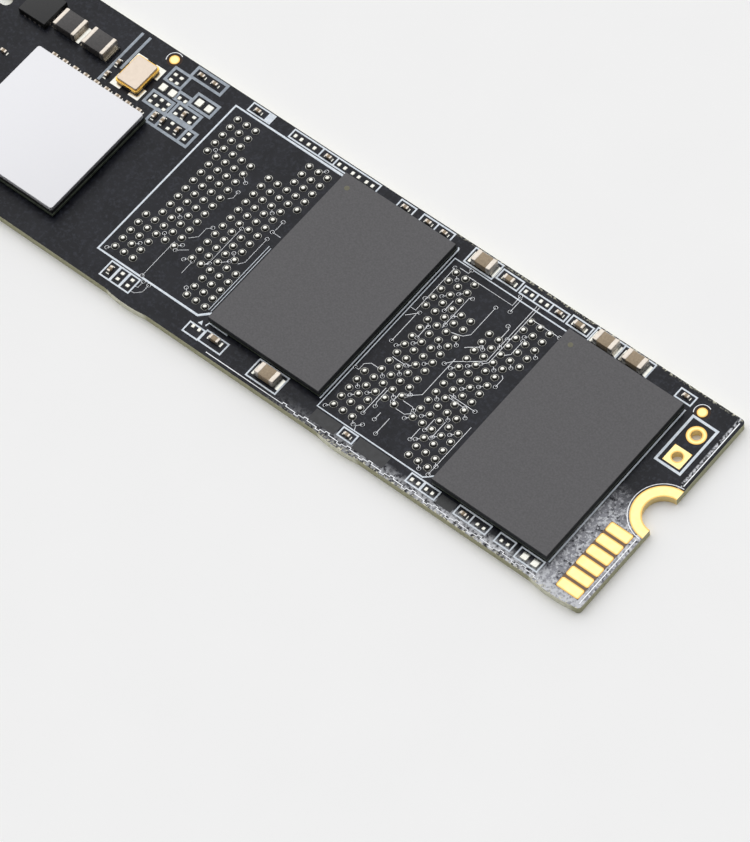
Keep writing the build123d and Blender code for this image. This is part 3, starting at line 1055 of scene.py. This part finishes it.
@dataclass
class Legend:
    """The screen-printed boxes and outlines. A line is the width of what follows it.

    Attributes:
        ink: thickness of the ink.
        cells, dabs: boxes round the parts along the edges, and filled marks inside them.
        corner_cells, corner_routes: boxes and lines by the controller and the crystal.
        header: box round the jumper holes.
        outline, site_outlines: lines round the two sites and beside the packages.
        hair_lines: thin lines beside the first package.
        arrow: X, Y and radius of the arrow by the first site.
    """

    ink: float = 0.014
    cell_line: float = 0.14
    cells: tuple[Rect, ...] = (
        (-12.8, -10.25, 9.85, 10.9), (-8.2, -4.8, 9.85, 10.9), (-4.95, -3.2, 9.85, 10.9),
        (-3.35, 1.45, 9.85, 10.9), (3.6, 5.35, 9.8, 10.88), (6.05, 7.8, 9.8, 10.88),
        (7.66, 9.55, 9.8, 10.88), (11.65, 14.75, 9.1, 10.9), (14.85, 17.15, 9.45, 10.65),
        (17.3, 18.9, 9.45, 10.45), (18.74, 20.5, 9.45, 10.45), (20.34, 22.15, 9.45, 10.45),
        (22.3, 24.6, 9.45, 10.6), (24.7, 27.75, 9.1, 10.9), (27.6, 30.9, 9.1, 10.9),
        (33.75, 35.5, 9.35, 10.45), (-12.05, -10.9, -10.3, -8.55), (-10.95, -9.85, -10.3, -8.55),
        (-9.9, -8.75, -10.3, -8.55), (-2.85, -1.1, -10.3, -9.1), (-1.15, 1.35, -10.25, -8.9),
        (4.2, 7.5, -10.4, -8.4), (13.95, 15.6, -10.25, -9.2), (21.2, 22.75, -10.25, -9.2),
        (22.7, 24.35, -10.25, -9.2), (26.25, 27.95, -10.25, -9.15), (27.8, 29.7, -10.25, -9.15),
        (30.5, 32.25, -10.25, -9.15), (32.7, 35.2, -10.4, -9.15),
    )
    dabs: tuple[Rect, ...] = ((-10.95, -10.4, 10.0, 10.75),)
    corner_line: float = 0.26
    corner_cells: tuple[Rect, ...] = (
        (-19.05, -15.5, 9.5, 10.9), (-20.65, -18.65, 7.95, 9.7), (-17.3, -14.7, 7.2, 8.8),
        (-20.65, -18.1, 5.15, 6.75), (-18.0, -15.25, 5.5, 7.1), (-18.7, -17.1, 6.9, 8.0),
        (-19.2, -14.4, 3.7, 5.5), (-18.15, -15.4, 3.7, 5.5),
    )
    corner_routes: tuple[Route, ...] = (((-25.15, 4.6), (-25.15, 10.6)), ((-24.3, 6.6), (-24.3, 10.6)))
    header_line: float = 0.23
    header: Rect = (36.1, 38.85, 3.7, 8.95)
    outline_line: float = 0.23
    outline: Route = ((-1.7, 9.65), (-13.8, 9.65), (-13.8, -8.35), (-2.7, -8.35), (-1.85, -7.5))
    site_line: float = 0.14
    site_outlines: tuple[Route, ...] = (
        ((22.9, 8.95), (10.95, 8.95), (10.95, -9.05), (22.2, -9.05), (22.9, -8.4)),
        ((10.5, 9.95), (10.65, 9.8), (10.65, -8.35)),
        ((-1.5, -8.75), (-1.4, -8.35), (0.6, -8.35)),
        ((35.35, 8.9), (35.35, -9.0)),
    )
    hair_line: float = 0.06
    hair_lines: tuple[Route, ...] = (((-2.3, 0.5), (-2.3, -7.4)), ((-2.05, 0.4), (-2.05, -7.4)))
    arrow: tuple[float, float, float] = (-2.0, -8.75, 0.26)

    def build(self) -> None:
        """Prints the legend."""
        mesh = bmesh.new()
        sheets(mesh, self.cells, self.ink, self.cell_line)
        sheets(mesh, self.dabs, self.ink)
        sheets(mesh, [self.header], self.ink, self.header_line)
        for width, routes in (
            (self.outline_line, [self.outline]),
            (self.site_line, self.site_outlines),
            (self.hair_line, self.hair_lines),
        ):
            ridges(mesh, routes, width, self.ink)
        x, y, radius = (value * MM for value in self.arrow)
        place = Matrix.Translation((x, y, CARD_TOP + self.ink * MM / 2))
        size = {"segments": 3, "radius1": radius, "radius2": radius, "depth": self.ink * MM}
        bmesh.ops.create_cone(mesh, cap_ends=True, matrix=place, **size)
        place_piece("legend_print", mesh, INK)
        mesh = bmesh.new()
        sheets(mesh, self.corner_cells, self.ink, self.corner_line)
        ridges(mesh, self.corner_routes, self.corner_line, self.ink)
        place_piece("corner_legend_print", mesh, THIN_INK)


@dataclass
class PlatedParts:
    """Gilded parts let into the card at the notch end.

    Attributes:
        fade: width over which the painted amber shade of a rim fades.
        crown: how far a pad's middle stands up.
    """

    notch_radius: float = 1.75
    hole_radius: float = 0.475
    pad_corner: float = 0.2
    fade: float = 0.17
    crown: float = 0.012

    def build(self) -> None:
        """Makes the pads and targets with their rims and dresses the ring and the eyelets."""
        for node, name, add in (
            ("service_pads", "service_pad_row", self.add_pad),
            ("camera_targets", "camera_target_dots", self.add_target),
        ):
            mesh = bmesh.new()
            rim = mesh.verts.layers.float.new("rim")
            for span in solids_of(node):
                add(mesh, span, rim)
            place_piece(name, mesh, GOLD, [node])
        ring = Span(*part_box("mounting_ring")).size / MM
        self.dress_round("mounting_ring", (CARD_END / MM, 0.0), self.notch_radius, ring.y / 2)
        for node, corners in (("jumper_eyelet_round", 1.0), ("jumper_eyelet_square", math.sqrt(2.0))):
            pad = Span(*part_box(node))
            middle, outer = pad.middle / MM, pad.size.y / 2 / MM
            self.dress_round(node, (middle.x, middle.y), self.hole_radius, outer * corners)

    def dress_round(self, node: str, middle: Point, inner: float, outer: float) -> None:
        """Gives a ring its gold with amber painted shade at its rims.

        Args:
            node: CAD node of the ring.
            middle: its middle.
            inner: its inner radius.
            outer: its outer radius, or the reach of its corners.
        """
        finish = RoundRimmed(f"immersion gold of the {node}", *GOLD_SHADES, middle, inner, outer, self.fade)
        dress_node(node, finish)

    def crown_top(self, mesh: BMesh, top: bmesh.types.BMFace, rim: BMLayer) -> None:
        """Insets a pad's top, raises its middle and marks the rim.

        Args:
            mesh: working mesh.
            top: upper face of the pad.
            rim: vertex layer of the rim's painted shade.
        """
        # The pad's edge takes the painted amber shade, the inset middle none.
        for vert in top.verts:
            vert[rim] = 1.0
        bmesh.ops.inset_region(mesh, faces=[top], thickness=self.fade * MM, use_even_offset=True)
        bmesh.ops.translate(mesh, verts=top.verts[:], vec=(0.0, 0.0, self.crown * MM))
        for vert in top.verts:
            vert[rim] = 0.0

    def add_pad(self, mesh: BMesh, span: Span, rim: BMLayer) -> None:
        """Adds one pad with rounded corners.

        Args:
            mesh: working mesh that gets the pad.
            span: its box.
            rim: vertex layer of the rim's painted shade.
        """
        edges = block(mesh, span)
        self.crown_top(mesh, highest(edges), rim)
        soften(mesh, upright(edges), self.pad_corner, 4)

    def add_target(self, mesh: BMesh, span: Span, rim: BMLayer) -> None:
        """Adds one round target.

        Args:
            mesh: working mesh that gets the target.
            span: its box.
            rim: vertex layer of the rim's painted shade.
        """
        radius = span.size.x / 2
        size = {"segments": TARGET_SIDES, "radius1": radius, "radius2": radius, "depth": span.size.z}
        place = Matrix.Translation(span.middle)
        verts = bmesh.ops.create_cone(mesh, cap_ends=True, matrix=place, **size)["verts"]
        self.crown_top(mesh, highest(verts), rim)


@dataclass
class BareSite:
    """A memory site that carries no package: solder domes on lands, traces and vias.

    Attributes:
        number: number of the site in the node's name.
        routes: corners of its longer traces.
        stub_every: one in so many bumps has a short trace to a via.
        land_radii: inner and outer radius of the bare rim of a land.
        painted_shade_shares: shares of a dome's radius between which its painted shade sets in and is full.
        via_radii: radii of a via's dish and ring.
        stub_reach: how far a short trace leads away along X and along Y.
    """

    number: int
    routes: tuple[Route, ...]
    stub_every: int
    land_radii: Point = (0.332, 0.36)
    land_height: float = 0.03
    dome_height: float = 0.2
    dome_radius: float = 0.22
    painted_shade_shares: Point = (0.74, 0.95)
    via_radii: Point = (0.165, 0.205)
    via_height: float = 0.04
    trace_width: float = 0.07
    trace_height: float = 0.025
    stub_reach: float = 0.5

    def build(self) -> None:
        """Sets a dome on a land at each bump and lays the traces."""
        dome = cap_pattern(self.dome_radius, self.dome_height, DOME_SIDES, *self.painted_shade_shares)
        land = ring_pattern(*self.land_radii, self.land_height, LAND_SIDES)

        def set_dome(mesh: BMesh, bump: Span) -> None:
            """Sets one dome on its land."""
            for pattern in (land, dome):
                stamp(mesh, pattern, Matrix.Translation((bump.middle.x, bump.middle.y, CARD_TOP)))

        name = f"bare_site_{self.number}"
        bumps = shape_solids(f"{name}_bumps", f"{name}_domes", set_dome, DOME_SOLDER_PAINTED_SHADE)
        self.build_traces(bumps)

    def build_traces(self, bumps: Sequence[Span]) -> None:
        """Lays the long traces, and a short one with a via at some of the bumps.

        Args:
            bumps: boxes of the bumps.
        """
        via = ring_pattern(*self.via_radii, self.via_height, VIA_SIDES)
        mesh = bmesh.new()
        routes = list(self.routes)
        for number, bump in enumerate(bumps):
            if number * STUB_STRIDE % self.stub_every == 0:
                x, y = bump.middle.xy / MM
                step_x = self.stub_reach if number % 2 else -self.stub_reach
                step_y = self.stub_reach if number % 3 else -self.stub_reach
                routes.append(((x + step_x / 2, y + step_y / 2), (x + step_x, y + step_y)))
        ridges(mesh, routes, self.trace_width, self.trace_height)
        for route in routes:
            x, y = route[-1]
            stamp(mesh, via, Matrix.Translation((x * MM, y * MM, CARD_TOP)))
        # Traces are silvery as a painted highlight, and via dishes black as painted shade.
        place_piece(f"bare_site_{self.number}_traces", mesh, TRACE_PAINTED_LIGHT)


@dataclass
class MemoryPackage:
    """A memory package on its solder balls, with its first-pin mark."""

    number: int
    mark_inset: Point = (1.1, 1.2)
    mark_radii: Point = (0.18, 0.24)

    def build(self) -> None:
        """Dresses the package, rounds its balls and sets the first-pin mark."""
        name = f"memory_{self.number}"
        dress_node(f"{name}_mould", MOULD)
        dress_node(f"{name}_substrate", LAMINATE)
        press_balls(name)
        mark_first_pin(name, self.mark_inset, self.mark_radii)


@dataclass
class Controller:
    """The controller under its metal plate, whose upper edge is rounded."""

    edge_break: float = 0.06

    def build(self) -> None:
        """Dresses the controller and softens the plate's edge."""
        dress_node("controller_mould", CHIP_MOULD)
        dress_node("controller_substrate", LAMINATE)
        press_balls("controller")
        soften_top("controller_heat_spreader", "controller_plate", self.edge_break, NICKEL)


@dataclass
class Crystal:
    """The timing crystal: an alumina tub, a gilded seal ring and a metal lid."""

    solder_round: float = 0.05
    corner: float = 0.25
    ring_height: float = 0.26
    base_inset: float = 0.05

    def build(self) -> None:
        """Builds the tub and the seal ring, dresses the lid and rounds the solder."""
        low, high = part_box("crystal_tub")
        joint = high.z - self.ring_height * MM
        back = Vector((self.base_inset * MM, self.base_inset * MM, 0.0))
        ring = Span(Vector((low.x, low.y, joint)), high)
        base = Span(low + back, Vector((high.x, high.y, joint)) - back)
        for name, finish, span, segments, nodes in (
            ("crystal_seal_ring", SEAL_RING, ring, 5, ["crystal_tub"]),
            ("crystal_tub_base", ALUMINA_PAINTED_SHADE, base, 3, []),
        ):
            mesh = bmesh.new()
            soften(mesh, upright(block(mesh, span)), self.corner, segments)
            place_piece(name, mesh, finish, nodes)
        dress_node("crystal_lid", CRYSTAL_LID)
        add = partial(mound, radius=self.solder_round)
        shape_solids("crystal_solder", "crystal_solder_lands", add, SOLDER)


@dataclass
class ChipParts:
    """Capacitors, inductors and the solder that holds them.

    Attributes:
        families: for each numbered kind of chip, how many there are, its edge rounding and its finish.
        groups: nodes that hold a group of chips, which share one rounding.
        body_share: rounding of a block as a share of that of its ends.
    """

    families: dict[str, tuple[int, float, Finish, Slot]] = field(
        default_factory=lambda: {
            "bulk_capacitor": (4, 0.12, CERAMIC, Slot.CERAMIC),
            "filter_capacitor": (3, 0.05, CERAMIC, Slot.CERAMIC),
            "power_inductor": (2, 0.12, FERRITE, Slot.FERRITE),
        }
    )
    groups: tuple[str, ...] = ("small_capacitors", "link_capacitors")
    group_round: float = 0.03
    body_share: float = 0.4
    fillet_steps: int = 5
    mound_round: float = 0.13

    def build(self) -> None:
        """Builds every chip, then its joints, then the solder of the empty lands."""
        blocks: list[Span] = []
        for kind, (count, radius, finish, slot) in self.families.items():
            for number in range(1, count + 1):
                blocks += self.build_chip(f"{kind}_{number}", radius, finish)
        for node in self.groups:
            blocks += self.build_chip(node, self.group_round, CERAMIC)
        self.build_joints(blocks)
        add = partial(mound, radius=self.mound_round)
        shape_solids("bare_land_solder", "bare_land_mounds", add, SOLDER)

    def build_chip(self, node: str, radius: float, finish: Finish) -> list[Span]:
        """Replaces the block and the ends of a node of chips.

        Args:
            node: name of the blocks' node.
            radius: rounding of the ends.
            finish: what the blocks wear.

        Returns:
            Boxes of the blocks.
        """
        body = partial(rounded_block, radius=radius * self.body_share, segments=2)
        cap = partial(rounded_block, radius=radius, segments=3)
        blocks = shape_solids(node, f"{node}_body", body, finish)
        shape_solids(f"{node}_ends", f"{node}_caps", cap, TIN)
        return blocks

    def build_joints(self, blocks: Sequence[Span]) -> None:
        """Replaces each solder wedge by a hollow fillet that rises to its chip.

        Args:
            blocks: boxes of all the chips.
        """
        pattern = fillet_pattern(self.fillet_steps)
        mesh = bmesh.new()
        for wedge in solids_of("chip_solder"):
            chip = min(blocks, key=lambda span: (span.middle.xy - wedge.middle.xy).length)
            away = wedge.middle.xy - chip.middle.xy
            along_x = abs(away.x) > abs(away.y)
            turn = math.atan2(0.0 if along_x else away.y, away.x if along_x else 0.0)
            length, width = (wedge.size.x, wedge.size.y) if along_x else (wedge.size.y, wedge.size.x)
            reach = Vector((math.cos(turn), math.sin(turn))) * (length / 2)
            place = Matrix.Translation((wedge.middle.x - reach.x, wedge.middle.y - reach.y, wedge.low.z))
            place @= Matrix.Rotation(turn, 4, "Z") @ Matrix.Diagonal((length, width, wedge.size.z, 1.0))
            stamp(mesh, pattern, place)
        place_piece("chip_solder_fillets", mesh, SOLDER, ["chip_solder"])


@dataclass
class Regulator:
    """The moulded power chip beside the inductors, with its first-pin mark."""

    edge_break: float = 0.05
    mark_inset: Point = (0.5, 0.5)
    mark_radii: Point = (0.13, 0.2)

    def build(self) -> None:
        """Softens the block, dresses the leads and sets the first-pin mark."""
        soften_top("regulator_mould", "regulator_block", self.edge_break, CHIP_MOULD)
        dress_node("regulator_leads", TIN)
        mark_first_pin("regulator", self.mark_inset, self.mark_radii)


@dataclass
class Studio:
    """Floor, sky and camera.

    Attributes:
        floor_size: half the floor's side in metres.
        azimuth, elevation: turn of the camera from -Y, and its height over the horizon.
        roll: tilt of the picture.
        lens: focal length on a picture side of 36.
        sky_height: height of the sky's brightest part over the horizon.
        sky_edge: cosines of the angle from there at which the sky is dim and at which it is bright.
        sky_level: brightness of the dim and of the bright sky, where 1 is white.
    """

    floor_size: float = 6.0
    aim: tuple[float, float, float] = (15.688, -7.297, 0.8)
    distance: float = 429.37
    azimuth: float = 46.691
    elevation: float = 58.999
    roll: float = 8.228
    lens: float = 223.44
    sky_height: float = 46.0
    sky_edge: Point = (0.2, 0.7)
    sky_level: Point = (0.06, 1.527)

    def build(self) -> None:
        """Sets the stage."""
        self.lay_floor()
        self.light_sky()
        self.set_camera()
        bpy.context.scene.view_settings.view_transform = "Standard"

    def lay_floor(self) -> None:
        """Lays a pale floor under the card."""
        mesh = bmesh.new()
        bmesh.ops.create_grid(mesh, x_segments=1, y_segments=1, size=self.floor_size)
        data = kept(mesh, "floor")
        data.materials.append(WHITE_BOARD.material())
        floor = bpy.data.objects.new("floor", data)
        bpy.context.scene.collection.objects.link(floor)

    def light_sky(self) -> None:
        """Makes a soft sky that is brightest high on the far side of the drive and dim behind the camera."""
        turn, rise = math.radians(self.azimuth), math.radians(self.sky_height)
        bright_side = (-math.sin(turn) * math.cos(rise), math.cos(turn) * math.cos(rise), math.sin(rise))
        world = bpy.data.worlds.new("studio")
        world.use_nodes = True
        tree = world.node_tree
        ray = add_node(tree, "TexCoord", out="Generated")
        sides = {0: ray, 1: bright_side}
        nearness = add_node(tree, "VectorMath", sides, {"operation": "DOT_PRODUCT"}, "Value")
        limits = dict(zip(("From Min", "From Max", "To Min", "To Max"), self.sky_edge + self.sky_level))
        smooth = {"interpolation_type": "SMOOTHSTEP"}
        strength = add_node(tree, "MapRange", {"Value": nearness, **limits}, smooth)
        feed(tree.nodes["Background"], {"Color": "#ffffff", "Strength": strength})
        bpy.context.scene.world = world

    def set_camera(self) -> None:
        """Places the camera."""
        turn, rise = math.radians(self.azimuth), math.radians(self.elevation)
        back = Vector((math.sin(turn) * math.cos(rise), -math.cos(turn) * math.cos(rise), math.sin(rise)))
        lens = bpy.data.cameras.new("camera")
        lens.lens = self.lens
        lens.clip_start = 0.01
        camera = bpy.data.objects.new("camera", lens)
        camera.location = (Vector(self.aim) + back * self.distance) * MM
        tilt = Matrix.Rotation(math.radians(-self.roll), 3, "Z")
        camera.rotation_euler = (back.to_track_quat("Z", "Y").to_matrix() @ tilt).to_euler()
        bpy.context.scene.collection.objects.link(camera)
        bpy.context.scene.camera = camera


FIRST_SITE_ROUTES: tuple[Route, ...] = (
    ((-9.0, -4.0), (-9.0, -8.2)), ((-8.7, 4.6), (-8.0, 4.1)), ((-8.2, 2.0), (-7.9, 2.3), (-7.9, 3.0)),
    ((-8.3, -3.0), (-7.7, -2.4), (-7.7, -1.4), (-7.3, -1.0)), ((-7.5, -3.9), (-8.4, -4.6)),
    ((-6.5, -6.0), (-6.5, -4.6)), ((-5.6, -4.3), (-5.3, -4.0), (-5.3, 0.4)), ((-2.9, 2.0), (-2.9, 3.0)),
    ((-2.1, 1.7), (-3.0, 1.7)), ((-3.3, -2.5), (-2.9, -2.0), (-2.9, 0.9)), ((-4.6, -3.3), (-4.0, -2.7)),
    ((-8.9, -9.4), (-8.5, -9.3), (-8.5, -8.6)), ((-8.8, -9.95), (-8.4, -9.9), (-7.9, -9.4), (-7.9, -8.6)),
)
SECOND_SITE_ROUTES: tuple[Route, ...] = (
    ((11.0, 3.0), (11.55, 3.0), (11.55, 8.2)), ((11.15, 2.1), (12.0, 3.0)), ((11.85, 2.7), (11.85, -0.5)),
    ((13.1, 8.2), (17.7, 8.2), (17.7, 9.3)), ((17.95, 9.2), (17.95, 7.6)),
    ((11.9, 8.45), (12.8, 8.45), (12.85, 8.8)), ((14.4, 3.0), (14.4, 6.6), (14.65, 6.7)),
    ((15.3, 3.1), (16.3, 3.4), (16.75, 3.9), (16.75, 7.2)), ((18.95, 5.2), (18.95, 6.2), (18.7, 6.4)),
    ((19.4, 9.4), (19.4, 2.7), (18.4, 1.9), (17.2, 1.0), (16.75, 0.4)),
    ((19.65, 9.4), (19.65, 2.7), (19.2, 2.2)), ((20.2, 4.0), (20.6, 4.4), (20.6, 6.0)),
    ((13.5, 5.6), (13.5, 4.4)), ((13.35, 2.4), (13.35, 1.0)), ((17.2, 1.3), (17.2, -3.0), (16.2, -3.9)),
    ((17.1, 2.6), (17.3, 2.8), (18.2, 3.5)),
    ((12.7, -3.2), (11.9, -3.2), (11.45, -3.6), (11.45, -4.3), (11.1, -4.3)),
    ((12.9, -1.65), (14.3, -1.65)), ((19.0, -1.65), (21.7, -1.65)), ((19.1, -1.9), (20.8, -1.9)),
    ((20.0, 8.1), (22.8, 8.1)), ((16.3, -4.4), (17.3, -4.4), (17.6, -4.6)),
    ((16.3, -5.35), (17.2, -5.35), (17.7, -4.9)), ((14.4, -4.3), (14.4, -7.3)),
    ((14.65, -4.4), (14.65, -5.8), (14.8, -6.2)), ((15.65, -4.0), (15.65, -5.0)),
    ((15.55, -6.4), (15.55, -7.2)), ((16.5, -6.4), (16.5, -8.2)), ((19.1, -5.6), (19.1, -6.9)),
    ((19.5, -4.2), (19.5, -5.5)), ((20.4, -3.9), (20.4, -5.8)), ((22.4, -3.0), (22.4, -8.6)),
    ((21.3, 2.4), (21.55, 2.2), (21.55, 1.2)), ((14.9, -9.0), (14.7, -8.6), (15.1, -8.2)),
)


def main() -> None:
    """Builds the drive and its stage."""
    logging.basicConfig(level=logging.INFO, format="%(name)s: %(message)s")
    Card().build()
    Legend().build()
    PlatedParts().build()
    BareSite(1, FIRST_SITE_ROUTES, 11, trace_width=0.05).build()
    BareSite(2, SECOND_SITE_ROUTES, 3).build()
    for number in (1, 2):
        MemoryPackage(number).build()
    Controller().build()
    Crystal().build()
    ChipParts().build()
    Regulator().build()
    Studio().build()


if __name__ == "__main__":
    main()
